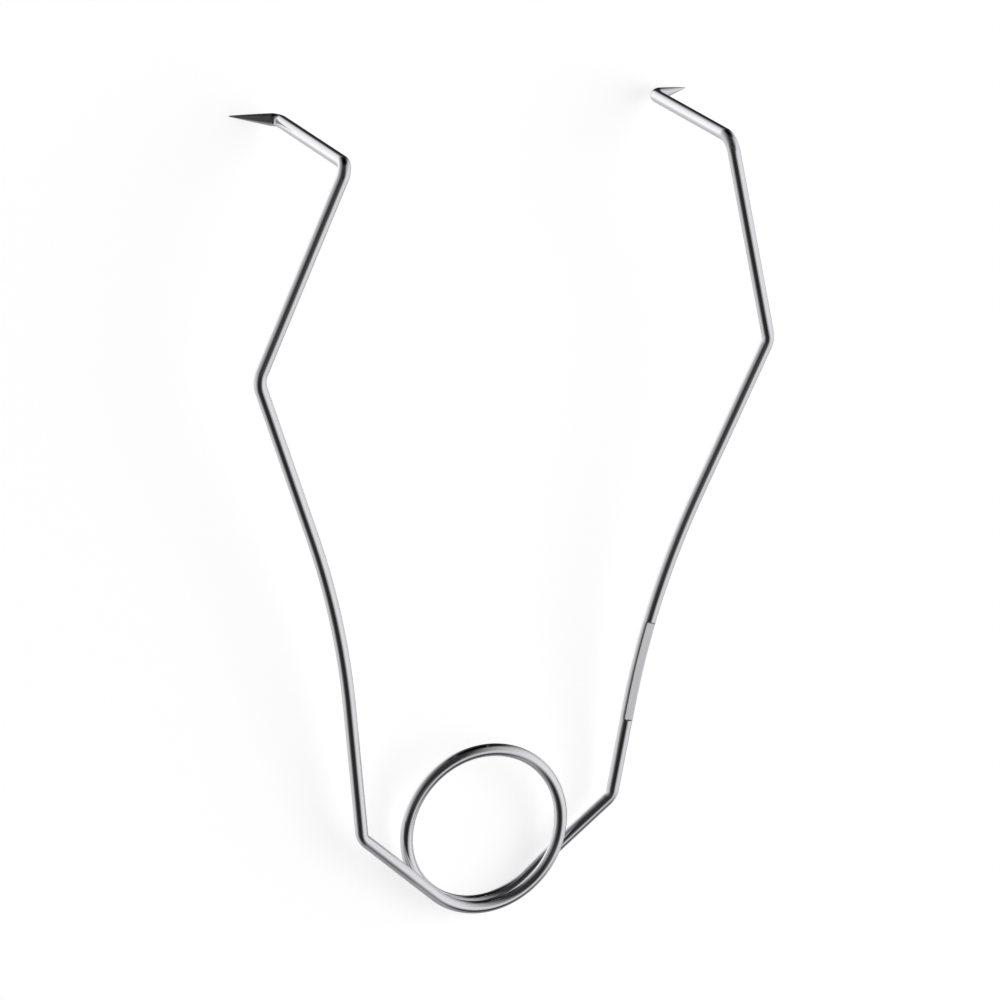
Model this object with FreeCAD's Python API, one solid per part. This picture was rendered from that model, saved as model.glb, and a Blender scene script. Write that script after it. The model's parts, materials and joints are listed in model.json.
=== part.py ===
# Self retaining retractor: a spring coil with two arms and two sharp hooks, all of one round wire.
#
# Millimetres. The wire is first laid out in its own frame: the coil's axis is Z, the arms lie
# near the plane z = 0 and run along +Y, and the hooks point to -Z. The finished pieces are then
# tipped about X, so that the hook points and the underside of the coil stand on one level floor.
# The origin is the coil's centre in both frames. +X is the arm that carries the marking flat.
import FreeCAD
import Part

import math
import os
from dataclasses import dataclass

Vector = FreeCAD.Vector

# The wire
WIRE_D = 2.0
WIRE_R = WIRE_D / 2

# The spring coil, measured on the wire's centre line, and wound as equal arcs
COIL_R = 13.0
COIL_PITCH = 2.3
COIL_ARCS = 5
LEAD_ARCS = 1

# The shoulder leaves the coil along its tangent, then eases back to the plane of the arms
TANGENT_RUN = 5.0
EASE_R = 40.0
SHOULDER_RISE_LEFT = 0.75
BOW_RISE_LEFT = 0.45

# Bends of the arms, on the centre line
SHOULDER_BEND_R = 2.4
BOW_R = 130.0
HOOK_BEND_R = 2.2
POINT_BEND_R = 1.8

# The hooks: a shank square to the arms, then a sharp point turned outwards
SHANK = 27.0
POINT_OUT = 7.0
POINT_FORWARD = 0.1
POINT_DROP = 3.2
POINT_WAIST = 0.56
TIP_R = 0.08

# The marking flat, where the right arm is pressed flat on the user's side and spreads sideways
FLAT_START = 12.0
FLAT_LENGTH = 16.6
FLAT_FACE = 1.5
FLAT_RISE = 0.72
FLAT_WIDTH = 2.12
FLAT_FOOT = 1.72
FLAT_FOOT_DEPTH = 0.5
FLAT_BELLY = 0.98


@dataclass(frozen=True)
class ArmPlan:
    """Where one arm bends, as distances out from and along the middle line of the retractor."""

    name: str
    side: int
    shoulder: tuple
    bow: tuple
    elbow: tuple
    wrist: tuple
    elbow_r: float

    def corner(self, place, z):
        """Return one bend's corner on this side of the middle line."""
        return Vector(self.side * place[0], place[1], z)


# The two arms are bent by hand to one plan, and differ by about a millimetre
LEFT = ArmPlan("left", -1, (21.3, 0.7), (27.0, 37.0), (42.7, 75.9), (30.3, 108.7), 4.0)
RIGHT = ArmPlan("right", 1, (22.5, 2.8), (26.3, 36.2), (43.0, 77.5), (33.5, 110.2), 3.0)


def unit(vector):
    """Return a copy of a vector with length 1."""
    copy = Vector(vector)
    return copy.normalize()


def disc(centre, along):
    """Return the wire's round section as a face."""
    return Part.Face(Part.Wire(Part.makeCircle(WIRE_R, centre, along)))


def one_solid(pieces):
    """Join pieces that meet face to face into a single solid."""
    if len(pieces) == 1:
        return pieces[0]
    joined = pieces[0].multiFuse(pieces[1:]).removeSplitter()
    return joined.Solids[0]


class Run:
    """A straight stretch of the wire's centre line."""

    def __init__(self, start, end):
        self.start = start
        self.along = unit(end - start)
        self.length = (end - start).Length

    def solid(self, first, last, section=disc):
        """Return the wire between two distances from the start of this run."""
        face = section(self.start + self.along * first, self.along)
        return face.extrude(self.along * (last - first))


class Bend:
    """An arc of the centre line that rounds the corner between two directions."""

    def __init__(self, corner, before, after, radius):
        turn = before.getAngle(after)
        reach = radius * math.tan(turn / 2)
        self.start = corner - before * reach
        self.end = corner + after * reach
        self.before = before
        self.axis = unit(before.cross(after))
        self.centre = self.start + self.axis.cross(before) * radius
        self.radius = radius
        self.length = radius * turn

    def solid(self, first, last, section=disc):
        """Return the wire between two distances from the start of this arc."""
        face = section(self.start, self.before)
        face.rotate(self.centre, self.axis, math.degrees(first / self.radius))
        return face.revolve(self.centre, self.axis, math.degrees((last - first) / self.radius))


class Centreline:
    """Runs and bends laid end to end through a list of corners."""

    def __init__(self, start, corners, radii, end):
        places = [start] + corners + [end]
        ways = [unit(b - a) for a, b in zip(places, places[1:])]
        self.bends = [
            Bend(corner, before, after, radius)
            for corner, before, after, radius in zip(corners, ways, ways[1:], radii)
        ]
        starts = [start] + [bend.end for bend in self.bends]
        ends = [bend.start for bend in self.bends] + [end]
        self.runs = [Run(a, b) for a, b in zip(starts, ends)]
        self.stretches = [self.runs[0]]
        for bend, run in zip(self.bends, self.runs[1:]):
            self.stretches += [bend, run]

    def station(self, stretch):
        """Return the distance along the wire at which a run or bend begins."""
        place = self.stretches.index(stretch)
        return sum(before.length for before in self.stretches[:place])

    def solid(self, first, last, section=disc):
        """Return the wire between two stations."""
        pieces = []
        for stretch in self.stretches:
            begin = self.station(stretch)
            low = max(first - begin, 0.0)
            high = min(last - begin, stretch.length)
            if high - low > 1e-6:
                pieces.append(stretch.solid(low, high, section))
        return one_solid(pieces)

    def whole(self, stretch):
        """Return the wire of one whole run or bend."""
        return stretch.solid(0.0, stretch.length)


def tangent_turn(plan):
    """Return the angle on the coil, in radians from +X outwards, at which an arm leaves it."""
    out, along = plan.shoulder
    return math.atan2(along, out) - math.acos(COIL_R / math.hypot(out, along))


# The coil runs from the left arm's tangent point, once round and on to the right arm's
COIL_TURN = 2 * math.pi + math.pi + tangent_turn(LEFT) + tangent_turn(RIGHT)
COIL_TOP = COIL_PITCH * COIL_TURN / (2 * math.pi) / 2

# One arc of the coil: the turn it takes, its climb, and the slope that all arcs share at their ends
ARC_TURN = COIL_TURN / COIL_ARCS
ARC_RISE = 2 * COIL_TOP / COIL_ARCS
ARC_LEG = 2 * COIL_R * math.tan(ARC_TURN / 2)
COIL_SLOPE = ARC_RISE / ARC_LEG


def coil_corner(arc):
    """Return the point where the end tangents of one arc meet, counted back from the right arm."""
    turn = tangent_turn(RIGHT) - (arc + 0.5) * ARC_TURN
    out = COIL_R / math.cos(ARC_TURN / 2)
    height = -COIL_TOP + (arc + 0.5) * ARC_RISE
    return Vector(out * math.cos(turn), out * math.sin(turn), height)


def coil_arc(arc):
    """Return one arc of the coil, which meets its neighbours along their common tangent."""
    before, corner, after = (coil_corner(arc + step) for step in (-1, 0, 1))
    come, go = unit(corner - before), unit(after - corner)
    leg = (corner - before).Length / 2
    return Bend(corner, come, go, leg / math.tan(come.getAngle(go) / 2))


def coil_piece(first, last):
    """Return the wire of the coil from one arc up to another."""
    bends = [coil_arc(arc) for arc in range(first, last)]
    return one_solid([bend.solid(0.0, bend.length) for bend in bends])


def coil_nodes():
    """Return the coil in three pieces: the lead under each arm, and the turn between them."""
    return {
        "right_coil_lead": coil_piece(0, LEAD_ARCS),
        "spring_coil": coil_piece(LEAD_ARCS, COIL_ARCS - LEAD_ARCS),
        "left_coil_lead": coil_piece(COIL_ARCS - LEAD_ARCS, COIL_ARCS),
    }


def hook_point(line):
    """Return the point's bend and its ground taper as one solid."""
    bend = line.bends[-1]
    run = line.runs[-1]
    tip = run.start + run.along * run.length
    across = unit(run.along.cross(bend.axis))
    half_way = run.start + run.along * (run.length / 2)
    side = Part.Arc(run.start + across * WIRE_R, half_way + across * POINT_WAIST, tip + across * TIP_R)
    outline = [
        Part.makeLine(run.start, run.start + across * WIRE_R),
        side.toShape(),
        Part.makeLine(tip + across * TIP_R, tip),
        Part.makeLine(tip, run.start),
    ]
    taper = Part.Face(Part.Wire(outline)).revolve(run.start, run.along, 360)
    return one_solid([line.whole(bend), taper])


def arm_line(plan):
    """Return the centre line of one arm, from its tangent point on the coil to its tip."""
    turn = tangent_turn(plan)
    height = -plan.side * COIL_TOP
    start = Vector(plan.side * COIL_R * math.cos(turn), COIL_R * math.sin(turn), height)
    tangent = unit(Vector(-plan.side * math.sin(turn), math.cos(turn), -plan.side * COIL_SLOPE))
    wrist = plan.corner(plan.wrist, 0.0)
    knuckle = wrist - Vector(0, 0, SHANK)
    corners = [
        start + tangent * TANGENT_RUN,
        plan.corner(plan.shoulder, height * SHOULDER_RISE_LEFT),
        plan.corner(plan.bow, height * BOW_RISE_LEFT),
        plan.corner(plan.elbow, 0.0),
        wrist,
        knuckle,
    ]
    radii = [EASE_R, SHOULDER_BEND_R, BOW_R, plan.elbow_r, HOOK_BEND_R, POINT_BEND_R]
    tip = knuckle + Vector(plan.side * POINT_OUT, POINT_FORWARD, -POINT_DROP)
    return Centreline(start, corners, radii, tip)


def arm_nodes(plan):
    """Return one arm as its runs and bends, in order from the coil to the hook."""
    line = arm_line(plan)
    _, shoulder_bend, bow, elbow, hook_bend, _ = line.bends
    _, _, lower_arm, middle_arm, upper_arm, shank, _ = line.runs
    pieces = {
        "shoulder": line.solid(0.0, line.station(shoulder_bend)),
        "shoulder_bend": line.whole(shoulder_bend),
        "lower_arm": line.whole(lower_arm),
        "bow": line.whole(bow),
        "middle_arm": line.whole(middle_arm),
        "elbow": line.whole(elbow),
        "upper_arm": line.whole(upper_arm),
        "hook_bend": line.whole(hook_bend),
        "hook_shank": line.whole(shank),
        "hook_point": hook_point(line),
    }
    return {f"{plan.name}_{name}": piece for name, piece in pieces.items()}


def pressed_section(centre, along, upwards):
    """Return the section of the marking flat: a level face over bulged sides and a round belly."""
    across = along.cross(upwards)

    def place(out, up):
        return centre + across * out + upwards * up

    face, side, foot = FLAT_FACE / 2, FLAT_WIDTH / 2, FLAT_FOOT / 2
    outline = [
        Part.makeLine(place(-face, FLAT_RISE), place(face, FLAT_RISE)),
        Part.Arc(place(face, FLAT_RISE), place(side, 0), place(foot, -FLAT_FOOT_DEPTH)).toShape(),
        Part.Arc(place(foot, -FLAT_FOOT_DEPTH), place(0, -FLAT_BELLY), place(-foot, -FLAT_FOOT_DEPTH)).toShape(),
        Part.Arc(place(-foot, -FLAT_FOOT_DEPTH), place(-side, 0), place(-face, FLAT_RISE)).toShape(),
    ]
    return Part.Face(Part.Wire(outline))


def marking_flat(line, first, last):
    """Return the wire between two stations, pressed flat on the user's side."""
    bow = line.bends[2]
    upwards = bow.axis if bow.axis.z > 0 else -bow.axis

    def section(centre, along):
        return pressed_section(centre, along, upwards)

    return line.solid(first, last, section)


def right_arm_nodes():
    """Return the right arm, with the marking flat between its lower arm and its bow."""
    line = arm_line(RIGHT)
    lower_arm = line.runs[2]
    bow = line.bends[2]
    first = line.station(lower_arm) + FLAT_START
    last = first + FLAT_LENGTH
    nodes = arm_nodes(RIGHT)
    nodes["right_lower_arm"] = lower_arm.solid(0.0, FLAT_START)
    nodes["right_marking_flat"] = marking_flat(line, first, last)
    nodes["right_bow"] = line.solid(last, line.station(bow) + bow.length)
    return nodes


def standing_angle():
    """Return the tip about X, in degrees, that puts coil and hook points on one floor."""
    rise = COIL_PITCH * (tangent_turn(RIGHT) + math.pi / 2) / (2 * math.pi)
    under_coil = Vector(0, -COIL_R, -COIL_TOP + rise)
    reach = (LEFT.wrist[1] + RIGHT.wrist[1]) / 2 + POINT_FORWARD
    tip = Vector(0, reach, -SHANK - POINT_DROP)
    span = tip - under_coil
    lift = math.asin((WIRE_R - TIP_R) / span.Length)
    return math.degrees(math.atan2(-span.z, span.y) - lift)


def main():
    """Build every piece, stand it up and write one file for each."""
    os.makedirs("parts", exist_ok=True)
    nodes = {**coil_nodes(), **arm_nodes(LEFT), **right_arm_nodes()}
    tip_up = standing_angle()
    for name, shape in nodes.items():
        shape.rotate(Vector(), Vector(1, 0, 0), tip_up)
        if not shape.isValid() or len(shape.Solids) != 1:
            raise RuntimeError(f"{name} is not one valid solid")
        shape.exportStep(f"parts/{name}.step")
        print(f"{name}: {shape.Volume:.2f} mm3")
    print(f"coil turns {math.degrees(COIL_TURN):.2f} degrees, stands tipped {tip_up:.3f} degrees")
    for plan in (LEFT, RIGHT):
        line = arm_line(plan)
        length = sum(stretch.length for stretch in line.stretches)
        print(f"{plan.name} arm: {length:.1f} mm of wire")


main()
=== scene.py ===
"""A self retaining retractor, bent from one polished round wire, dressed around its frame.

The wire's centre line is laid out in its own frame in millimetres: the coil's axis is Z, the arms
run along +Y and the hooks point to -Z. It is then tipped about X, as the frame's joint axes are,
and the meshes are written in metres.
"""
from __future__ import annotations

import json
import logging
import math
from dataclasses import dataclass, field, replace
from enum import Enum, IntEnum
from itertools import pairwise

import bpy
from mathutils import Matrix, Quaternion, Vector


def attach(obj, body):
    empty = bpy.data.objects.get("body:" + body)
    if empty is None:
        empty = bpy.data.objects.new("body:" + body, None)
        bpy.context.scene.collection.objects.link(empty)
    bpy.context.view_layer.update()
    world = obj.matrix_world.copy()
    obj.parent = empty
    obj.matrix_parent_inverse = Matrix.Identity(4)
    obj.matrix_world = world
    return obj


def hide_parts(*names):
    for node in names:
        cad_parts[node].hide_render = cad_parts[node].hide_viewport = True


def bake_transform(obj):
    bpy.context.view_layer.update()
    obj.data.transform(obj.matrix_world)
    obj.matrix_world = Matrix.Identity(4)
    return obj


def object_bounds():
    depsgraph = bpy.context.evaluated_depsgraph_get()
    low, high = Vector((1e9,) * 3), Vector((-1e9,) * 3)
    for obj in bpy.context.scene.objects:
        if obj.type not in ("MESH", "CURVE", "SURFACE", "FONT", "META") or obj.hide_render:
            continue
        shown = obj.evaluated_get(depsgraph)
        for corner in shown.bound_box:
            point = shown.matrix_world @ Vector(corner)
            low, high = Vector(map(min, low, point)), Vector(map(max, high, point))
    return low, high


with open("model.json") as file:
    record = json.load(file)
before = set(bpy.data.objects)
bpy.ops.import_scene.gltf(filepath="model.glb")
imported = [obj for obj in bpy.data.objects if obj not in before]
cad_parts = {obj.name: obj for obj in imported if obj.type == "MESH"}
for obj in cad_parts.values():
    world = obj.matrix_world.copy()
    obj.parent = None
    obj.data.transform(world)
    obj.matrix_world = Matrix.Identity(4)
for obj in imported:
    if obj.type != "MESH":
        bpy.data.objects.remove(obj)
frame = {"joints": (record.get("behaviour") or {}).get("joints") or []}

CAD_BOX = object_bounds()
LOG = logging.getLogger("retractor")
MM = 0.001
TURN = 2 * math.pi
WIDEST_GAP = 0.3
NARROWEST_GAP = 0.08
GAP_PER_RADIUS = 0.017

Triple = tuple[float, float, float]


class Body(Enum):
    """The frame's bodies."""

    COIL = "coil"
    LEFT = "left_arm"
    RIGHT = "right_arm"


class Slot(Enum):
    """The finishes, by the names of their material slots."""

    WIRE = "polished_wire"
    FLAT = "pressed_flat"
    POINT = "ground_point"


class ArmBend(IntEnum):
    """The bends of one arm, counted from the coil."""

    EASE = 0
    SHOULDER = 1
    BOW = 2
    ELBOW = 3
    HOOK = 4
    POINT = 5


class Socket:
    """A node's output on which Python's operators add Math nodes."""

    def __init__(self, graph: Graph, link: bpy.types.NodeSocket) -> None:
        """Keep the output and the graph that it belongs to."""
        self.graph = graph
        self.link = link

    def math(self, operation: str, *others: Socket | float) -> Socket:
        """Add one Math node that starts from this output.

        Args:
            operation: The Math node's operation.
            others: Its further inputs, in order.

        Returns:
            The Math node's output.
        """
        values = dict(enumerate((self, *others)))
        return self.graph.add("ShaderNodeMath", {"operation": operation}, values)["Value"]

    def __add__(self, other: Socket | float) -> Socket:
        """Return this plus another value."""
        return self.math("ADD", other)

    def __sub__(self, other: Socket | float) -> Socket:
        """Return this less another value."""
        return self.math("SUBTRACT", other)

    def __rsub__(self, other: float) -> Socket:
        """Return a number less this."""
        return self.math("MULTIPLY_ADD", -1.0, other)

    def __mul__(self, other: Socket | float) -> Socket:
        """Return this times another value."""
        return self.math("MULTIPLY", other)

    __radd__ = __add__
    __rmul__ = __mul__


class Node:
    """One node whose outputs are read by name."""

    def __init__(self, graph: Graph, node: bpy.types.Node) -> None:
        """Keep the node and the graph that it belongs to."""
        self.graph = graph
        self.node = node

    def __getitem__(self, name: str) -> Socket:
        """Return the output of that name that the node's settings leave in use."""
        return Socket(self.graph, next(out for out in self.node.outputs if out.name == name and out.enabled))


class Graph:
    """A node tree that grows by one call for each node."""

    def __init__(self, tree: bpy.types.NodeTree) -> None:
        """Keep the tree and clear what it starts with."""
        self.tree = tree
        tree.nodes.clear()

    def add(self, kind: str, settings: dict[str, object], sockets: dict[str | int, object]) -> Node:
        """Add a node, set it, then feed its sockets.

        Args:
            kind: The node's type.
            settings: Its properties, set first.
            sockets: Values or links for its inputs, by name or by place in the list.

        Returns:
            The node.
        """
        node = self.tree.nodes.new(kind)
        for name, value in settings.items():
            setattr(node, name, value)
        for key, value in sockets.items():
            self.feed(self.input(node, key), value)
        return Node(self, node)

    @staticmethod
    def input(node: bpy.types.Node, key: str | int) -> bpy.types.NodeSocket:
        """Find one of a node's inputs.

        Args:
            node: The node.
            key: The input's place in the list, or its name among those in use.

        Returns:
            The input.
        """
        if isinstance(key, int):
            return node.inputs[key]
        return next(socket for socket in node.inputs if socket.name == key and socket.enabled)

    def feed(self, socket: bpy.types.NodeSocket, value: object) -> None:
        """Link an output to an input, or set the input's own value.

        Args:
            socket: The input.
            value: A Socket to link, or anything else to set.
        """
        if isinstance(value, Socket):
            self.tree.links.new(value.link, socket)
        else:
            socket.default_value = value

    def attribute(self, name: str, data_type: str = "FLOAT") -> Socket:
        """Return a named attribute of the geometry that the tree works on."""
        settings = {"data_type": data_type}
        return self.add("GeometryNodeInputNamedAttribute", settings, {"Name": name})["Attribute"]

    def fade(self, value: Socket, start: float, end: float, most: float = 1.0) -> Socket:
        """Return a smooth rise from 0 at one value to the most at another."""
        sockets = {"Value": value, "From Min": start, "From Max": end, "To Max": most}
        return self.add("ShaderNodeMapRange", {"interpolation_type": "SMOOTHSTEP"}, sockets)["Result"]

    def vector(self, operation: str, *values: object) -> Node:
        """Add one Vector Math node."""
        return self.add("ShaderNodeVectorMath", {"operation": operation}, dict(enumerate(values)))

    def scaled(self, direction: Socket, amount: Socket | float) -> Socket:
        """Return a vector times a number."""
        sockets = {0: direction, "Scale": amount}
        return self.add("ShaderNodeVectorMath", {"operation": "SCALE"}, sockets)["Vector"]

    def camera_ray(self) -> Socket:
        """Return 1 where the camera looks, and 0 for light and reflections."""
        return self.add("ShaderNodeLightPath", {}, {})["Is Camera Ray"]


@dataclass(frozen=True)
class Corner:
    """A place where the wire turns, and the radius of its centre line there, in millimetres."""

    place: Vector
    radius: float


@dataclass(frozen=True)
class Run:
    """A straight stretch of the centre line."""

    start: Vector
    end: Vector

    @property
    def length(self) -> float:
        """Return how long the run is."""
        return (self.end - self.start).length

    @property
    def ring_gap(self) -> float:
        """Return the widest distance between two rings of the wire's mesh."""
        return WIDEST_GAP

    def at(self, distance: float) -> tuple[Vector, Vector, Vector]:
        """Return the centre, the direction and the way to a bend's centre, here none."""
        along = (self.end - self.start).normalized()
        return self.start + along * distance, along, Vector()


@dataclass(frozen=True)
class Bend:
    """A round corner of the centre line."""

    start: Vector
    before: Vector
    axis: Vector
    radius: float
    turn: float

    @property
    def length(self) -> float:
        """Return how long the bend is."""
        return self.radius * self.turn

    @property
    def ring_gap(self) -> float:
        """Return the widest distance between two rings, finer in a tight bend."""
        return min(WIDEST_GAP, max(NARROWEST_GAP, self.radius * GAP_PER_RADIUS))

    @property
    def end(self) -> Vector:
        """Return where the bend ends."""
        return self.at(self.length)[0]

    def at(self, distance: float) -> tuple[Vector, Vector, Vector]:
        """Follow the bend from its start.

        Args:
            distance: How far to go along the centre line.

        Returns:
            The centre, the direction and the way to the bend's centre.
        """
        inward = self.axis.cross(self.before)
        spin = Quaternion(self.axis, distance / self.radius)
        hub = self.start + inward * self.radius
        return hub - (spin @ inward) * self.radius, spin @ self.before, spin @ inward


def rounded(start: Vector, corners: list[Corner], end: Vector) -> list[Run | Bend]:
    """Lay runs and bends along a line through corners.

    Args:
        start: Where the line starts.
        corners: Its corners, each with a radius.
        end: Where the line ends.

    Returns:
        A bend for each corner, between runs, which may have no length.
    """
    places = [start, *(corner.place for corner in corners), end]
    ways = [(there - here).normalized() for here, there in pairwise(places)]
    stretches: list[Run | Bend] = []
    here = start
    for corner, before, after in zip(corners, ways, ways[1:]):
        turn = before.angle(after)
        reach = corner.radius * math.tan(turn / 2)
        axis = before.cross(after).normalized()
        bend = Bend(corner.place - before * reach, before, axis, corner.radius, turn)
        stretches += [Run(here, bend.start), bend]
        here = bend.end
    return [*stretches, Run(here, end)]


@dataclass(frozen=True)
class ArmPlan:
    """Where one arm bends, as distances out from and along the retractor's middle line."""

    side: int
    shoulder: tuple[float, float]
    bow: tuple[float, float]
    elbow: tuple[float, float]
    wrist: tuple[float, float]
    elbow_r: float

    def at(self, place: tuple[float, float], z: float = 0.0) -> Vector:
        """Return a corner on this arm's side of the middle line."""
        return Vector((self.side * place[0], place[1], z))


@dataclass(frozen=True)
class Coil:
    """The spring coil, wound as equal arcs between the two arms."""

    left: ArmPlan
    right: ArmPlan
    radius: float = 13.0
    pitch: float = 2.3
    arcs: int = 5
    lead_arcs: int = 1

    def tangent_turn(self, plan: ArmPlan) -> float:
        """Return the angle from +X outwards at which an arm leaves the coil."""
        out, along = plan.shoulder
        return math.atan2(along, out) - math.acos(self.radius / math.hypot(out, along))

    @property
    def turn(self) -> float:
        """Return how far the coil turns from one arm to the other."""
        return TURN + math.pi + self.tangent_turn(self.left) + self.tangent_turn(self.right)

    @property
    def top(self) -> float:
        """Return the height at which the left arm leaves the coil."""
        return self.pitch * self.turn / TURN / 2

    @property
    def slope(self) -> float:
        """Return the climb along the line between two arcs' corners."""
        return self.top / (self.arcs * self.radius * math.tan(self.turn / self.arcs / 2))

    def corner_place(self, arc: int) -> Vector:
        """Find where the end tangents of one arc meet.

        Args:
            arc: The arc, counted from the right arm.

        Returns:
            The place, in the wire's own frame.
        """
        step = self.turn / self.arcs
        turn = self.tangent_turn(self.right) - (arc + 0.5) * step
        out = self.radius / math.cos(step / 2)
        height = self.top * ((2 * arc + 1) / self.arcs - 1)
        return Vector((out * math.cos(turn), out * math.sin(turn), height))

    def corner(self, arc: int) -> Corner:
        """Describe one arc of the coil as a corner that meets its neighbours.

        Args:
            arc: The arc, counted from the right arm.

        Returns:
            The corner.
        """
        before, place, after = (self.corner_place(arc + step) for step in (-1, 0, 1))
        leg = (place - before).length / 2
        turn = (place - before).angle(after - place)
        return Corner(place, leg / math.tan(turn / 2))

    def leave(self, plan: ArmPlan) -> tuple[Vector, Vector]:
        """Find where an arm leaves the coil.

        Args:
            plan: The arm.

        Returns:
            The place, and the direction in which the arm leaves.
        """
        turn = self.tangent_turn(plan)
        height = -plan.side * self.top
        start = Vector((plan.side * self.radius * math.cos(turn), self.radius * math.sin(turn), height))
        way = Vector((-plan.side * math.sin(turn), math.cos(turn), -plan.side * self.slope))
        return start, way.normalized()


@dataclass(frozen=True)
class Ring:
    """One ring of the wire's mesh, and what the wire is like there."""

    station: float
    centre: Vector
    along: Vector
    up: Vector
    pinch: Vector
    thick: float
    press: float
    spread: float
    bent: float
    ground: float


@dataclass(frozen=True)
class Wire:
    """The one length of wire, from the left hook's point over the coil to the right hook's."""

    left: ArmPlan = ArmPlan(-1, (21.3, 0.7), (27.0, 37.0), (42.7, 75.9), (30.3, 108.7), 4.0)
    right: ArmPlan = ArmPlan(1, (22.5, 2.8), (26.3, 36.2), (43.0, 77.5), (33.5, 110.2), 3.0)
    wire_r: float = 1.0
    tangent_run: float = 5.0
    ease_r: float = 40.0
    shoulder_rise_left: float = 0.75
    bow_rise_left: float = 0.45
    shoulder_bend_r: float = 2.4
    bow_r: float = 130.0
    hook_bend_r: float = 2.2
    point_bend_r: float = 1.8
    shank: float = 27.0
    point_out: float = 7.0
    point_forward: float = 0.1
    point_drop: float = 3.2
    point_waist: float = 0.56
    tip_r: float = 0.08
    flat_start: float = 12.0
    flat_length: float = 16.6
    shank_seam: float = 0.5

    @property
    def coil(self) -> Coil:
        """Return the coil between the two arms."""
        return Coil(self.left, self.right)

    def tip(self, plan: ArmPlan) -> Vector:
        """Return the sharp end of one hook."""
        turned_out = Vector((plan.side * self.point_out, self.point_forward, -self.point_drop))
        return plan.at(plan.wrist, -self.shank) + turned_out

    def arm_corners(self, plan: ArmPlan) -> dict[ArmBend, Corner]:
        """Place one arm's corners.

        Args:
            plan: The arm.

        Returns:
            Its corners, in order from the coil to the hook's point.
        """
        start, way = self.coil.leave(plan)
        height = -plan.side * self.coil.top
        shoulder = plan.at(plan.shoulder, height * self.shoulder_rise_left)
        bow = plan.at(plan.bow, height * self.bow_rise_left)
        return {
            ArmBend.EASE: Corner(start + way * self.tangent_run, self.ease_r),
            ArmBend.SHOULDER: Corner(shoulder, self.shoulder_bend_r),
            ArmBend.BOW: Corner(bow, self.bow_r),
            ArmBend.ELBOW: Corner(plan.at(plan.elbow), plan.elbow_r),
            ArmBend.HOOK: Corner(plan.at(plan.wrist), self.hook_bend_r),
            ArmBend.POINT: Corner(plan.at(plan.wrist, -self.shank), self.point_bend_r),
        }

    def stretches(self) -> list[Run | Bend]:
        """Lay out the whole wire.

        Returns:
            Its runs and bends in turn, left point first.
        """
        left = reversed(self.arm_corners(self.left).values())
        right = self.arm_corners(self.right).values()
        wound = [self.coil.corner(arc) for arc in reversed(range(self.coil.arcs))]
        return rounded(self.tip(self.left), [*left, *wound, *right], self.tip(self.right))


@dataclass(frozen=True)
class Ramp:
    """A value that rises smoothly from 0 to 1 between two stations of the wire."""

    start: float
    end: float

    def at(self, station: float) -> float:
        """Return the value at a station."""
        share = min(1.0, max(0.0, (station - self.start) / (self.end - self.start)))
        return share * share * (3 - 2 * share)


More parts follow.
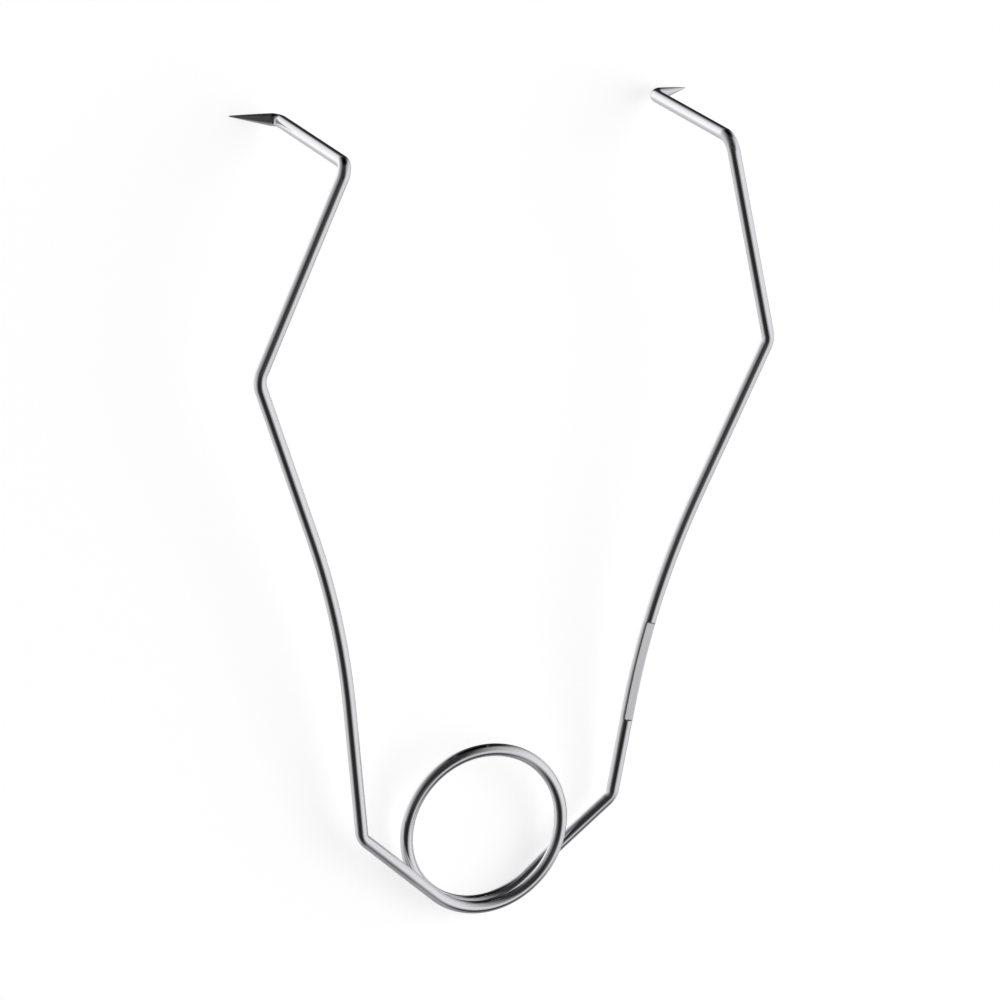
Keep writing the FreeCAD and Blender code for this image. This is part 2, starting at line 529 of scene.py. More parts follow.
@dataclass
class Layout:
    """The wire laid out by stations, its distances in millimetres from the left point."""

    wire: Wire
    stretches: list[Run | Bend] = field(init=False)
    begins: list[float] = field(init=False)
    length: float = field(init=False)
    press_run: float = 0.22
    spread_run: float = 0.45
    worked_run: float = 1.6
    ground_edge: float = 0.1
    tight: float = 5.0
    oval: float = 0.05
    tip_rings: int = 6
    shortest: float = 0.001
    too_close: float = 0.04
    least_thick: float = 0.02

    def __post_init__(self) -> None:
        """Lay the stretches end to end."""
        self.stretches = self.wire.stretches()
        self.begins = []
        self.length = 0.0
        for stretch in self.stretches:
            self.begins.append(self.length)
            self.length += stretch.length

    @staticmethod
    def left_bend(bend: ArmBend) -> int:
        """Return the place among the stretches of one of the left arm's bends."""
        return 2 * (len(ArmBend) - bend) - 1

    def right_bend(self, bend: ArmBend) -> int:
        """Return the place among the stretches of one of the right arm's bends."""
        return len(self.stretches) - 2 * (len(ArmBend) - bend)

    def drawn(self) -> list[int]:
        """Return the places of the stretches that have a length, unlike the runs between coil arcs."""
        return [place for place, stretch in enumerate(self.stretches) if stretch.length > self.shortest]

    @property
    def flat(self) -> tuple[float, float]:
        """Return the stations between which the marking flat is pressed."""
        lower_arm = self.right_bend(ArmBend.BOW) - 1
        start = self.begins[lower_arm] + self.wire.flat_start
        return start, start + self.wire.flat_length

    @property
    def seams(self) -> list[float]:
        """Find where the wire's mesh is cut.

        Returns:
            The stations at which one piece ends and the next begins, with both ends of the wire.
        """
        coil = self.wire.coil
        first_arc = self.left_bend(ArmBend.EASE) + 2
        left_lead_end = self.begins[first_arc + 2 * coil.lead_arcs]
        right_lead_start = self.begins[first_arc + 2 * (coil.arcs - coil.lead_arcs)]
        left_shank = self.begins[self.left_bend(ArmBend.POINT) + 1] + self.wire.shank_seam
        right_shank = self.begins[self.right_bend(ArmBend.POINT)] - self.wire.shank_seam
        return [0.0, left_shank, left_lead_end, right_lead_start, *self.flat, right_shank, self.length]

    @property
    def taper_run(self) -> float:
        """Return the length of a hook's ground taper."""
        return self.stretches[0].length

    def stations(self) -> list[float]:
        """Space the rings of the mesh.

        Returns:
            Every station that has a ring, in order.
        """
        flat_start, flat_end = self.flat
        exact = [*self.seams, flat_start + self.press_run, flat_end - self.press_run, *self.tip_stations()]
        spaced: list[float] = []
        for place in self.drawn():
            begin, stretch = self.begins[place], self.stretches[place]
            count = math.ceil(stretch.length / stretch.ring_gap)
            spaced += [begin + stretch.length * step / count for step in range(count)]
        kept = [each for each in spaced if all(abs(each - fixed) > self.too_close for fixed in exact)]
        return sorted({*kept, *exact})

    def tip_stations(self) -> list[float]:
        """Space the rings that round off the two tips.

        Returns:
            Their stations.
        """
        quarter = math.pi / 2
        steps = [quarter * step / self.tip_rings for step in range(self.tip_rings + 1)]
        depths = [self.wire.tip_r * (1 - math.cos(step)) for step in steps]
        return [*depths, *(self.length - depth for depth in depths)]

    def locate(self, station: float) -> tuple[Vector, Vector, Vector]:
        """Find a place on the centre line.

        Args:
            station: The distance from the left point.

        Returns:
            The centre, the direction, and the pinch that a tight bend gives the wire.
        """
        place = max(place for place in self.drawn() if self.begins[place] <= station)
        stretch = self.stretches[place]
        distance = min(station - self.begins[place], stretch.length)
        centre, along, inward = stretch.at(distance)
        if isinstance(stretch, Run) or stretch.radius > self.tight:
            return centre, along, Vector()
        share = math.sin(math.pi * distance / stretch.length)
        return centre, along, inward * math.sqrt(self.oval * share)

    def thickness(self, station: float) -> float:
        """Work out the wire's radius, which tapers along a slightly hollow side to each rounded tip.

        Args:
            station: The distance from the left point.

        Returns:
            The radius, in millimetres.
        """
        wire = self.wire
        depth = min(station, self.length - station)
        share = max(0.0, 1 - depth / self.taper_run)
        bow = 4 * wire.point_waist - 3 * wire.wire_r - wire.tip_r
        sag = 2 * (wire.wire_r + wire.tip_r) - 4 * wire.point_waist
        taper = wire.wire_r + bow * share + sag * share * share
        if depth >= wire.tip_r:
            return taper
        round_off = math.sqrt(max(0.0, 1 - (1 - depth / wire.tip_r) ** 2))
        return taper * max(self.least_thick, round_off)

    def worked(self, station: float) -> float:
        """Work out how strongly the wire is marked by the tool that bent it.

        Args:
            station: The distance from the left point.

        Returns:
            The strength, from 0 to 1.
        """
        most = 0.0
        for begin, stretch in zip(self.begins, self.stretches):
            if isinstance(stretch, Bend) and stretch.radius <= self.tight:
                end = begin + stretch.length
                rise = Ramp(begin - self.worked_run, begin).at(station)
                fall = Ramp(end + self.worked_run, end).at(station)
                most = max(most, rise * fall)
        return most

    def on_flat(self, station: float, run: float) -> float:
        """Return 1 on the marking flat, 0 off it, with a smooth rise of a given run at both ends."""
        start, end = self.flat
        return Ramp(start, start + run).at(station) * Ramp(end, end - run).at(station)

    def ring(self, station: float, up: Vector) -> Ring:
        """Describe the ring at a station.

        Args:
            station: The distance from the left point.
            up: The way that the section's top should turn to.

        Returns:
            The ring, square to the wire.
        """
        centre, along, pinch = self.locate(station)
        depth = min(station, self.length - station)
        return Ring(
            station=station,
            centre=centre,
            along=along,
            up=(up - along * up.dot(along)).normalized(),
            pinch=pinch,
            thick=self.thickness(station),
            press=self.on_flat(station, self.press_run),
            spread=self.on_flat(station, self.spread_run),
            bent=self.worked(station),
            ground=Ramp(self.taper_run + self.ground_edge, self.taper_run - self.ground_edge).at(depth),
        )

    def rings(self) -> list[Ring]:
        """Describe the rings of the whole wire, turned so that the flat faces the user.

        Returns:
            The rings, left point first.
        """
        rings: list[Ring] = []
        up = Vector((0, 0, 1))
        for station in self.stations():
            rings.append(self.ring(station, up))
            up = rings[-1].up
        flat_ring = min(rings, key=lambda ring: abs(ring.station - self.flat[0]))
        facing = self.stretches[self.right_bend(ArmBend.BOW)].axis
        facing = facing if facing.z > 0 else -facing
        side = flat_ring.along.cross(flat_ring.up)
        roll = math.atan2(facing.dot(side), facing.dot(flat_ring.up))
        return [replace(ring, up=Quaternion(ring.along, roll) @ ring.up) for ring in rings]


@dataclass(frozen=True)
class Stand:
    """How the wire's own frame stands in the retractor's frame, which is in metres."""

    tip: float

    @classmethod
    def from_frame(cls) -> Stand:
        """Read the tip about X from the axis on which the arms swing."""
        swing = Vector(frame["joints"][0]["axis"])
        return cls(math.atan2(swing.y, -swing.z))

    def way(self, direction: Vector) -> Vector:
        """Return a direction in the retractor's frame."""
        return Matrix.Rotation(self.tip, 3, "X") @ direction

    def place(self, point: Vector) -> Vector:
        """Return a point in the retractor's frame, in metres."""
        return self.way(point) * MM


@dataclass(frozen=True)
class SweepTree:
    """The geometry nodes that sweep the wire's section along its centre line."""

    around: int = 80
    face_rise: float = 0.72
    flat_width: float = 1.06
    belly: float = 0.98
    face_edge: float = 0.07
    side_bulge: float = 4.0
    clear_of_wire: float = 1.2
    sharp_angle: float = math.radians(33)

    def build(self) -> bpy.types.NodeTree:
        """Build the tree, with named inputs for its sizes.

        Returns:
            The tree, whose result is a closed tube with one material.
        """
        tree = bpy.data.node_groups.new("wire_sweep", "GeometryNodeTree")
        self.name_sockets(tree)
        graph = Graph(tree)
        given = graph.add("NodeGroupInput", {}, {})
        tube = self.tube(graph, given)
        offset = self.section(graph, given)
        placed = graph.vector("ADD", graph.attribute("centre", "FLOAT_VECTOR"), offset)["Vector"]
        shaped = graph.add("GeometryNodeSetPosition", {}, {"Geometry": tube, "Position": placed})["Geometry"]
        smooth = graph.add("GeometryNodeSetShadeSmooth", {"domain": "FACE"}, {"Geometry": shaped})["Geometry"]
        edge = graph.add("GeometryNodeInputMeshEdgeAngle", {}, {})["Unsigned Angle"]
        sharp = {
            "Geometry": smooth,
            "Selection": edge.math("GREATER_THAN", self.sharp_angle),
            "Shade Smooth": False,
        }
        creased = graph.add("GeometryNodeSetShadeSmooth", {"domain": "EDGE"}, sharp)["Geometry"]
        real = graph.add("GeometryNodeRealizeInstances", {}, {"Geometry": creased})["Geometry"]
        finish = {"Geometry": real, "Material": given["Finish"]}
        dressed = graph.add("GeometryNodeSetMaterial", {}, finish)["Geometry"]
        graph.add("NodeGroupOutput", {}, {"Wire": dressed})
        return tree

    def name_sockets(self, tree: bpy.types.NodeTree) -> None:
        """Give the tree its inputs and its output.

        Args:
            tree: The empty tree.
        """
        sockets = [
            ("Centre Line", "INPUT", "NodeSocketGeometry", None),
            ("Points Around", "INPUT", "NodeSocketInt", self.around),
            ("Face Rise", "INPUT", "NodeSocketFloat", self.face_rise),
            ("Flat Width", "INPUT", "NodeSocketFloat", self.flat_width),
            ("Belly", "INPUT", "NodeSocketFloat", self.belly),
            ("Face Edge", "INPUT", "NodeSocketFloat", self.face_edge),
            ("Finish", "INPUT", "NodeSocketMaterial", None),
            ("Wire", "OUTPUT", "NodeSocketGeometry", None),
        ]
        for name, way, kind, value in sockets:
            socket = tree.interface.new_socket(name, in_out=way, socket_type=kind)
            if value is not None:
                socket.default_value = value

    @staticmethod
    def stored(graph: Graph, geometry: Socket, name: str, kind: str, value: Socket) -> Socket:
        """Store a named attribute on a geometry's points.

        Args:
            graph: The tree.
            geometry: The geometry.
            name: The attribute's name.
            kind: Its data type.
            value: What each point gets.

        Returns:
            The geometry with the attribute.
        """
        settings = {"data_type": kind, "domain": "POINT"}
        sockets = {"Geometry": geometry, "Name": name, "Value": value}
        return graph.add("GeometryNodeStoreNamedAttribute", settings, sockets)["Geometry"]

    def tube(self, graph: Graph, given: Node) -> Socket:
        """Sweep a circle along the centre line and keep each point's place round the wire.

        Args:
            graph: The tree.
            given: The tree's inputs.

        Returns:
            The closed tube.
        """
        line = graph.add("GeometryNodeMeshToCurve", {}, {"Mesh": given["Centre Line"]})["Curve"]
        here = graph.add("GeometryNodeInputPosition", {}, {})["Position"]
        line = self.stored(graph, line, "centre", "FLOAT_VECTOR", here)
        round_section = {"Resolution": given["Points Around"], "Radius": MM}
        circle = graph.add("GeometryNodeCurvePrimitiveCircle", {"mode": "RADIUS"}, round_section)["Curve"]
        share = graph.add("GeometryNodeSplineParameter", {}, {})["Factor"]
        circle = self.stored(graph, circle, "spin", "FLOAT", share * TURN)
        swept = {"Curve": line, "Profile Curve": circle, "Fill Caps": True}
        tube = graph.add("GeometryNodeCurveToMesh", {}, swept)["Mesh"]
        spin = graph.attribute("spin")
        round_wire = {"X": spin.math("COSINE"), "Y": spin.math("SINE"), "Z": graph.attribute("station")}
        space = graph.add("ShaderNodeCombineXYZ", {}, round_wire)["Vector"]
        return self.stored(graph, tube, "wire_space", "FLOAT_VECTOR", space)

    def section(self, graph: Graph, given: Node) -> Socket:
        """Shape the wire's section: round, pressed flat, tapered, or a little oval in a tight bend.

        Args:
            graph: The tree.
            given: The tree's inputs.

        Returns:
            Each point's offset from the centre line.
        """
        spin = graph.attribute("spin")
        press = graph.attribute("press")
        spread = graph.attribute("spread")
        thick = graph.attribute("thick")
        cosine = spin.math("COSINE")
        sine = spin.math("SINE")
        bulge = cosine.math("POWER", self.side_bulge)
        wide = cosine * (spread * bulge * (given["Flat Width"] - 1.0) + 1.0)
        under = sine.math("LESS_THAN", 0.0)
        tall = sine * (under * press * (given["Belly"] - 1.0) + 1.0)
        level = press * (given["Face Rise"] - self.clear_of_wire) + self.clear_of_wire
        high = tall.math("SMOOTH_MIN", level, given["Face Edge"])
        up = graph.attribute("up", "FLOAT_VECTOR")
        along = graph.attribute("along", "FLOAT_VECTOR")
        across = graph.vector("CROSS_PRODUCT", up, along)["Vector"]
        beside = graph.scaled(across, wide * thick)
        above = graph.scaled(up, high * thick)
        offset = graph.vector("ADD", beside, above)["Vector"]
        pinch = graph.attribute("pinch", "FLOAT_VECTOR")
        inward = graph.vector("DOT_PRODUCT", offset, pinch)["Value"]
        return graph.vector("SUBTRACT", offset, graph.scaled(pinch, inward))["Vector"]


@dataclass(frozen=True)
class Piece:
    """One length of the wire's mesh: what it is called, what it stands for and how it moves."""

    name: str
    nodes: tuple[str, ...]
    bodies: tuple[Body, ...]
    slot: Slot


def arm_nodes(side: str, *names: str) -> tuple[str, ...]:
    """Return the full names of one arm's nodes."""
    return tuple(f"{side}_{name}" for name in names)


LEFT_WIRE_NODES = arm_nodes(
    "left",
    "hook_shank",
    "hook_bend",
    "upper_arm",
    "elbow",
    "middle_arm",
    "bow",
    "lower_arm",
    "shoulder_bend",
    "shoulder",
    "coil_lead",
)
RIGHT_SHOULDER_NODES = arm_nodes("right", "coil_lead", "shoulder", "shoulder_bend", "lower_arm")
RIGHT_WIRE_NODES = arm_nodes("right", "bow", "middle_arm", "elbow", "upper_arm", "hook_bend", "hook_shank")


@dataclass(frozen=True)
class Retractor:
    """The whole wire, cut where its finish or its motion changes."""

    wire: Wire
    stand: Stand
    finishes: dict[Slot, bpy.types.Material]
    pieces: tuple[Piece, ...] = (
        Piece("left_sharp_point", arm_nodes("left", "hook_point"), (Body.LEFT,), Slot.POINT),
        Piece("left_arm_wire", LEFT_WIRE_NODES, (Body.LEFT, Body.COIL), Slot.WIRE),
        Piece("coil_wire", ("spring_coil",), (Body.COIL,), Slot.WIRE),
        Piece("right_shoulder_wire", RIGHT_SHOULDER_NODES, (Body.COIL, Body.RIGHT), Slot.WIRE),
        Piece("right_pressed_flat", arm_nodes("right", "marking_flat"), (Body.RIGHT,), Slot.FLAT),
        Piece("right_arm_wire", RIGHT_WIRE_NODES, (Body.RIGHT,), Slot.WIRE),
        Piece("right_sharp_point", arm_nodes("right", "hook_point"), (Body.RIGHT,), Slot.POINT),
    )

    def centre_line(self, name: str, rings: list[Ring]) -> bpy.types.Object:
        """Draw one piece's centre line as an object of points and edges.

        Args:
            name: The object's name.
            rings: The rings of the piece, in order.

        Returns:
            The object, whose points carry what the sweep needs.
        """
        mesh = bpy.data.meshes.new(name)
        points = [self.stand.place(ring.centre) for ring in rings]
        mesh.from_pydata(points, list(pairwise(range(len(rings)))), [])
        for key in ("along", "up", "pinch"):
            values = [axis for ring in rings for axis in self.stand.way(getattr(ring, key))]
            mesh.attributes.new(key, "FLOAT_VECTOR", "POINT").data.foreach_set("vector", values)
        for key in ("station", "press", "spread", "bent", "ground"):
            values = [getattr(ring, key) for ring in rings]
            mesh.attributes.new(key, "FLOAT", "POINT").data.foreach_set("value", values)
        thick = [ring.thick * MM for ring in rings]
        mesh.attributes.new("thick", "FLOAT", "POINT").data.foreach_set("value", thick)
        line = bpy.data.objects.new(name, mesh)
        bpy.context.scene.collection.objects.link(line)
        return line

    @staticmethod
    def sweep(line: bpy.types.Object, tree: bpy.types.NodeTree, finish: bpy.types.Material) -> None:
        """Turn a centre line into the plain mesh of its wire, in place.

        Args:
            line: The centre line's object.
            tree: The sweep's geometry nodes.
            finish: The wire's material.
        """
        modifier = line.modifiers.new("sweep", "NODES")
        modifier.node_group = tree
        socket = next(item for item in tree.interface.items_tree if item.name == "Finish")
        modifier[socket.identifier] = finish
        depsgraph = bpy.context.evaluated_depsgraph_get()
        swept = line.evaluated_get(depsgraph)
        mesh = bpy.data.meshes.new_from_object(swept, preserve_all_data_layers=True, depsgraph=depsgraph)
        line.modifiers.remove(modifier)
        line.data = mesh
        for key in ("centre", "along", "up", "pinch", "spin", "thick", "spread", "station"):
            mesh.attributes.remove(mesh.attributes[key])

    def lead_places(self, layout: Layout) -> dict[str, tuple[Vector, Vector]]:
        """Find where each winding lead starts and ends.

        Args:
            layout: The laid out wire.

        Returns:
            For each coil lead piece, the two places, in the order of its bodies.
        """
        _, _, left_lead_end, right_lead_start, *_ = layout.seams
        coil = self.wire.coil
        left_tangent = self.stand.place(coil.leave(self.wire.left)[0])
        right_tangent = self.stand.place(coil.leave(self.wire.right)[0])
        left_end = self.stand.place(layout.locate(left_lead_end)[0])
        right_start = self.stand.place(layout.locate(right_lead_start)[0])
        flat_left = Vector((left_end.x, left_tangent.y, left_tangent.z))
        flat_right = Vector((right_start.x, right_tangent.y, right_tangent.z))
        return {
            "left_arm_wire": (left_tangent, flat_left),
            "right_shoulder_wire": (flat_right, right_tangent),
        }

    def build(self) -> None:
        """Build every piece; attach each that rides on one body to it, and bake the two coil leads in place
        unattached.
        """
        layout = Layout(self.wire)
        rings = layout.rings()
        tree = SweepTree().build()
        leads = self.lead_places(layout)
        for piece, (start, end) in zip(self.pieces, pairwise(layout.seams)):
            own = [ring for ring in rings if start <= ring.station <= end]
            line = self.centre_line(piece.name, own)
            self.sweep(line, tree, self.finishes[piece.slot])
            bodies = [body.value for body in piece.bodies]
            if piece.name in leads:
                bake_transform(line)
            else:
                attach(line, *bodies)
            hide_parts(*piece.nodes)
            LOG.info("%s: %d rings, %d faces", piece.name, len(own), len(line.data.polygons))


@dataclass(frozen=True)
class Pattern:
    """A soft random pattern: how fine it is round and along the wire, and its layers of detail."""

    around: float
    along: float
    detail: float
    layer_share: float = 0.55


@dataclass(frozen=True)
class WireFinish:
    """Polished spring wire: fine drawing lines along it, soft waves, and marks at its bends."""

    slot: Slot = Slot.WIRE
    tint: Triple = (0.82, 0.82, 0.85)
    shade: Triple = (0.74, 0.74, 0.77)
    lines: Pattern = Pattern(7.0, 0.05, 3.0)
    smudge: Pattern = Pattern(1.2, 0.22, 3.0)
    waves: Pattern = Pattern(0.8, 0.35, 1.0)
    nicks: Pattern = Pattern(2.5, 3.0, 2.0)
    hairs: Pattern = Pattern(1.1, 0.9, 2.0)
    handled: Pattern = Pattern(0.9, 0.15, 1.0)
    handled_edge: tuple[float, float] = (0.48, 0.60)
    hair_width: float = 0.010
    hair_tone: float = 0.3
    least_rough: float = 0.0
    smudge_rough: float = 0.10
    line_rough: float = 0.08
    nick_rough: float = 0.12
    hair_rough: float = 0.18
    line_height: float = 0.45
    nick_height: float = 0.35
    hair_height: float = 0.3
    relief_mm: float = 0.006

    def build(self) -> bpy.types.Material:
        """Make the finish's material.

        Returns:
            The material, named as its slot.
        """
        material = bpy.data.materials.new(self.slot.value)
        material.use_nodes = True
        self.dress(Graph(material.node_tree))
        return material

    def dress(self, graph: Graph) -> None:
        """Add the finish's nodes.

        Args:
            graph: The material's tree.
        """
        lines = self.noise(graph, self.lines)
        smudge = self.noise(graph, self.smudge)
        nicks = self.noise(graph, self.nicks) * self.read(graph, "bent")
        hairs = self.hairlines(graph)
        rough = self.polish(lines, smudge) + nicks * self.nick_rough + hairs * self.hair_rough
        colour = self.mix(graph, (lines + smudge) * 0.5 - hairs * self.hair_tone, self.shade, self.tint)
        height = lines * self.line_height + self.noise(graph, self.waves) + nicks * self.nick_height
        self.close(graph, colour, rough, height - hairs * self.hair_height)

    def polish(self, lines: Socket, smudge: Socket) -> Socket:
        """Return the roughness of the polished wire."""
        return smudge * self.smudge_rough + lines * self.line_rough + self.least_rough

    @staticmethod
    def read(graph: Graph, name: str) -> Socket:
        """Return a number that the mesh carries along the wire."""
        return graph.add("ShaderNodeAttribute", {"attribute_name": name}, {})["Fac"]

    @staticmethod
    def place(graph: Graph) -> Socket:
        """Return the place round and along the wire: its cosine, its sine and its station."""
        return graph.add("ShaderNodeAttribute", {"attribute_name": "wire_space"}, {})["Vector"]

    @classmethod
    def noise(cls, graph: Graph, pattern: Pattern) -> Socket:
        """Draw a pattern on the wire.

        Args:
            graph: The material's tree.
            pattern: The pattern.

        Returns:
            Its value, from 0 to 1.
        """
        stretch = (pattern.around, pattern.around, pattern.along)
        mapping = {"Vector": cls.place(graph), "Scale": stretch}
        space = graph.add("ShaderNodeMapping", {"vector_type": "POINT"}, mapping)["Vector"]
        sockets = {"Vector": space, "Scale": 1.0, "Detail": pattern.detail, "Roughness": pattern.layer_share}
        return graph.add("ShaderNodeTexNoise", {"noise_dimensions": "3D"}, sockets)["Fac"]

    def hairlines(self, graph: Graph) -> Socket:
        """Draw fine scratches from handling, as the level lines of a soft pattern.

        Args:
            graph: The material's tree.

        Returns:
            1 on a scratch and 0 beside it.
        """
        off_level = (self.noise(graph, self.hairs) - 0.5).math("ABSOLUTE")
        where = graph.fade(self.noise(graph, self.handled), *self.handled_edge)
        return graph.fade(off_level, self.hair_width, 0.0) * where

    @classmethod
    def mix(cls, graph: Graph, factor: Socket, low: Triple | Socket, high: Triple | Socket) -> Socket:
        """Return a colour between two others."""
        colours = {"Factor": factor, "A": cls.opaque(low), "B": cls.opaque(high)}
        return graph.add("ShaderNodeMix", {"data_type": "RGBA"}, colours)["Result"]

    @staticmethod
    def opaque(colour: Triple | Socket) -> tuple[float, ...] | Socket:
        """Return a written colour with full alpha, or a linked one as it is."""
        return colour if isinstance(colour, Socket) else (*colour, 1.0)

    def close(self, graph: Graph, colour: Socket, rough: Socket, height: Socket) -> None:
        """Join a colour, a roughness and a fine relief in bare metal.

        Args:
            graph: The material's tree.
            colour: The metal's colour.
            rough: Its roughness.
            height: Its relief, in units of relief_mm.
        """
        relief = {"Height": height, "Strength": 1.0, "Distance": self.relief_mm * MM}
        normal = graph.add("ShaderNodeBump", {}, relief)["Normal"]
        sockets = {"Base Color": colour, "Metallic": 1.0, "Roughness": rough, "Normal": normal}
        metal = graph.add("ShaderNodeBsdfPrincipled", {}, sockets)["BSDF"]
        graph.add("ShaderNodeOutputMaterial", {}, {"Surface": metal})


@dataclass(frozen=True)
class FlatFinish(WireFinish):
    """The pressed flat: a satin face between polished sides, with painted shade, a dark line across the step
    at each end.
    """

    slot: Slot = Slot.FLAT
    face: Triple = (0.94, 0.94, 0.97)
    # corner is the near-black colour of the painted shade across the step at each end of the flat.
    corner: Triple = (0.05, 0.05, 0.06)
    step_shade_share: float = 0.9
    face_edge: tuple[float, float] = (0.62, 0.74)
    grain: Pattern = Pattern(9.0, 2.5, 3.0)
    least_rough: float = 0.01
    line_rough: float = 0.06
    face_rough: float = 0.26
    grain_rough: float = 0.12
    line_height: float = 0.25
    grain_height: float = 0.9

    def dress(self, graph: Graph) -> None:
        """Add the finish's nodes.

        Args:
            graph: The material's tree.
        """
        rise = graph.add("ShaderNodeSeparateXYZ", {}, {"Vector": self.place(graph)})["Y"]
        press = self.read(graph, "press")
        on_face = graph.fade(rise, *self.face_edge) * press
        # Painted shade: a dark line across the step where the press ramps in and out, at each end of the
        # flat.
        step_shade = on_face * (1 - press) * 4.0
        grain = self.noise(graph, self.grain)
        lines = self.noise(graph, self.lines)
        smudge = self.noise(graph, self.smudge)
        bare = self.mix(graph, (lines + smudge) * 0.5, self.shade, self.tint)
        satin = self.mix(graph, on_face, bare, self.face)
        # Mix the painted step shade into the colour.
        colour = self.mix(graph, step_shade * self.step_shade_share, satin, self.corner)
        rough = self.polish(lines, smudge) + on_face * (grain * self.grain_rough + self.face_rough)
        self.close(graph, colour, rough, lines * self.line_height + on_face * grain * self.grain_height)


@dataclass(frozen=True)
class PointFinish(WireFinish):
    """The ground point: fine lines round the taper, polished wire behind it."""

    slot: Slot = Slot.POINT
    grinding: Pattern = Pattern(1.5, 8.0, 3.0)
    least_rough: float = 0.01
    line_rough: float = 0.06
    ground_rough: float = 0.18
    grinding_rough: float = 0.22
    line_height: float = 0.25
    grinding_height: float = 3.2

    def dress(self, graph: Graph) -> None:
        """Add the finish's nodes.

        Args:
            graph: The material's tree.
        """
        ground = self.read(graph, "ground")
        rounds = self.noise(graph, self.grinding)
        lines = self.noise(graph, self.lines)
        smudge = self.noise(graph, self.smudge)
        colour = self.mix(graph, (rounds * ground + smudge) * 0.5, self.tint, self.shade)
        rough = self.polish(lines, smudge) + ground * (rounds * self.grinding_rough + self.ground_rough)
        self.close(graph, colour, rough, lines * self.line_height + ground * rounds * self.grinding_height)


@dataclass(frozen=True)
class Patch:
    """A round patch of the surround, whose strength rises with the cosine of the angle off its centre."""

    centre: Triple
    edge: float
    full: float
    strength: float

    def glow(self, graph: Graph, way: Socket) -> Socket:
        """Return the patch's strength in a direction, from none at its edge."""
        facing = graph.vector("DOT_PRODUCT", way, self.centre)["Value"]
        return graph.fade(facing, self.edge, self.full, self.strength)


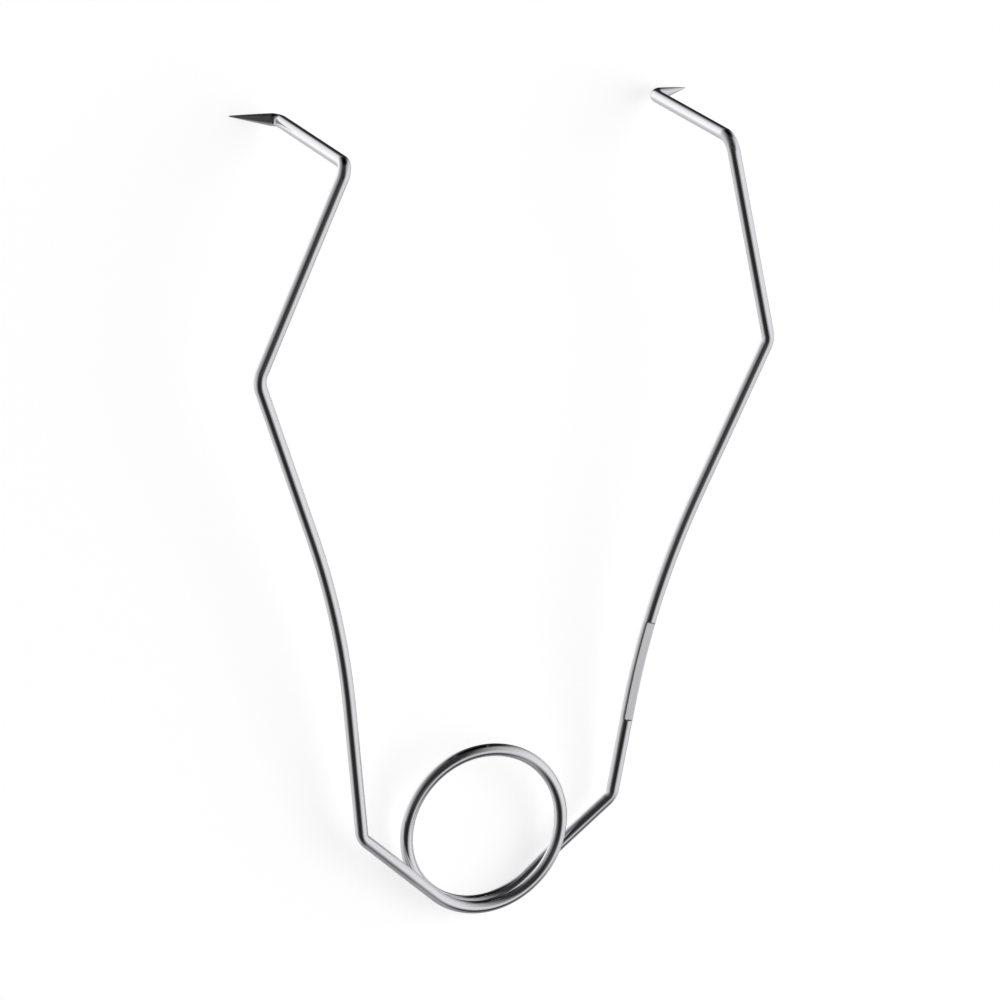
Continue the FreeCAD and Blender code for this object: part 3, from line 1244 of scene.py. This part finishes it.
@dataclass(frozen=True)
class Studio:
    """A white floor, a surround of light patches and dark cards, a soft lamp and the camera."""

    azimuth: float = math.radians(-104.953)
    elevation: float = math.radians(64.733)
    roll: float = math.radians(102.110)
    distance: float = 0.82934
    aim: Triple = (0.000342, 0.052444, 0.008467)
    lens: float = 193.26
    white: tuple[float, ...] = (1.0, 1.0, 1.0, 1.0)
    floor_half: float = 3.0
    floor_grey: float = 0.80
    floor_glow: float = 0.70
    lamp_place: Triple = (0.55, 0.1, 1.0)
    lamp_size: float = 0.9
    lamp_power: float = 2.0
    dimmest: float = 0.045
    level: float = 0.84
    lights: tuple[Patch, ...] = (
        Patch((-0.66, -0.11, -0.75), -0.18, 1.83, 1.43),
        Patch((-0.25, 0.35, -0.90), 0.86, 0.96, 0.60),
        Patch((0.83, -0.56, 0.01), 0.07, 0.60, 0.37),
        Patch((0.93, 0.15, 0.34), 0.34, 0.94, 0.65),
        Patch((-0.41, -0.74, 0.53), 0.58, 0.86, 0.32),
        Patch((0.41, -0.49, 0.77), 0.88, 0.99, 0.25),
    )
    cards: tuple[Patch, ...] = (
        Patch((0.48, -0.83, 0.28), 0.90, 0.98, 0.88),
        Patch((0.15, 0.985, -0.08), 0.78, 0.92, 0.93),
        Patch((0.41, 0.45, -0.79), 0.91, 0.965, 0.88),
        Patch((-0.53, -0.62, 0.58), 0.52, 0.96, 0.92),
        Patch((0.05, -0.88, -0.47), 0.78, 1.18, 0.71),
    )

    def build(self) -> None:
        """Set up the view settings, the camera, the floor and the light."""
        bpy.context.scene.view_settings.view_transform = "Standard"
        self.build_camera()
        self.build_floor()
        self.build_world()
        self.build_lamp()

    def build_camera(self) -> None:
        """Place the camera as the photograph's was."""
        level = math.cos(self.elevation)
        out, along = math.sin(self.azimuth) * level, -math.cos(self.azimuth) * level
        back = Vector((out, along, math.sin(self.elevation)))
        flat_right = Vector((math.cos(self.azimuth), math.sin(self.azimuth), 0))
        right = Quaternion(back, self.roll) @ flat_right
        turned = Matrix((right, back.cross(right), back)).transposed().to_4x4()
        data = bpy.data.cameras.new("camera")
        data.lens = self.lens
        camera = bpy.data.objects.new("camera", data)
        camera.matrix_world = Matrix.Translation(Vector(self.aim) + back * self.distance) @ turned
        bpy.context.scene.collection.objects.link(camera)
        bpy.context.scene.camera = camera

    def build_floor(self) -> None:
        """Lay the floor under the coil and the hook points, white to the camera, unseen in the metal."""
        height = CAD_BOX[0].z
        half = self.floor_half
        mesh = bpy.data.meshes.new("floor")
        corners = [(-half, -half, height), (half, -half, height), (half, half, height), (-half, half, height)]
        mesh.from_pydata(corners, [], [(0, 1, 2, 3)])
        floor = bpy.data.objects.new("floor", mesh)
        bpy.context.scene.collection.objects.link(floor)
        material = bpy.data.materials.new("white_floor")
        material.use_nodes = True
        graph = Graph(material.node_tree)
        grey = (self.floor_grey, self.floor_grey, self.floor_grey, 1.0)
        paper = graph.add("ShaderNodeBsdfDiffuse", {}, {"Color": grey})["BSDF"]
        light = {"Color": self.white, "Strength": graph.camera_ray() * self.floor_glow}
        glow = graph.add("ShaderNodeEmission", {}, light)["Emission"]
        both = graph.add("ShaderNodeAddShader", {}, {0: paper, 1: glow})["Shader"]
        graph.add("ShaderNodeOutputMaterial", {}, {"Surface": both})
        mesh.materials.append(material)
        floor.visible_glossy = False

    def build_world(self) -> None:
        """Surround the retractor with light patches and dark cards, where the camera sees plain white."""
        world = bpy.data.worlds.new("studio")
        world.use_nodes = True
        bpy.context.scene.world = world
        graph = Graph(world.node_tree)
        way = graph.add("ShaderNodeTexCoord", {}, {})["Generated"]
        strength = sum((patch.glow(graph, way) for patch in self.lights), self.dimmest) * self.level
        for card in self.cards:
            strength = strength * (1 - card.glow(graph, way))
        choice = {"Factor": graph.camera_ray(), "A": strength, "B": 1.0}
        light = graph.add("ShaderNodeMix", {"data_type": "FLOAT"}, choice)["Result"]
        shine = graph.add("ShaderNodeBackground", {}, {"Color": self.white, "Strength": light})["Background"]
        graph.add("ShaderNodeOutputWorld", {}, {"Surface": shine})

    def build_lamp(self) -> None:
        """Hang one wide, weak lamp high over the retractor, for a soft shadow."""
        data = bpy.data.lights.new("soft_lamp", "AREA")
        data.shape = "DISK"
        data.size = self.lamp_size
        data.energy = self.lamp_power
        lamp = bpy.data.objects.new("soft_lamp", data)
        lamp.visible_glossy = False
        lamp.location = self.lamp_place
        aim = Vector(self.aim) - lamp.location
        lamp.rotation_euler = aim.to_track_quat("-Z", "Y").to_euler()
        bpy.context.scene.collection.objects.link(lamp)


def main() -> None:
    """Build, dress and light the retractor."""
    logging.basicConfig(level=logging.INFO, format="%(name)s: %(message)s")
    finishes = {finish.slot: finish.build() for finish in (WireFinish(), FlatFinish(), PointFinish())}
    Retractor(Wire(), Stand.from_frame(), finishes).build()
    Studio().build()


if __name__ == "__main__":
    main()
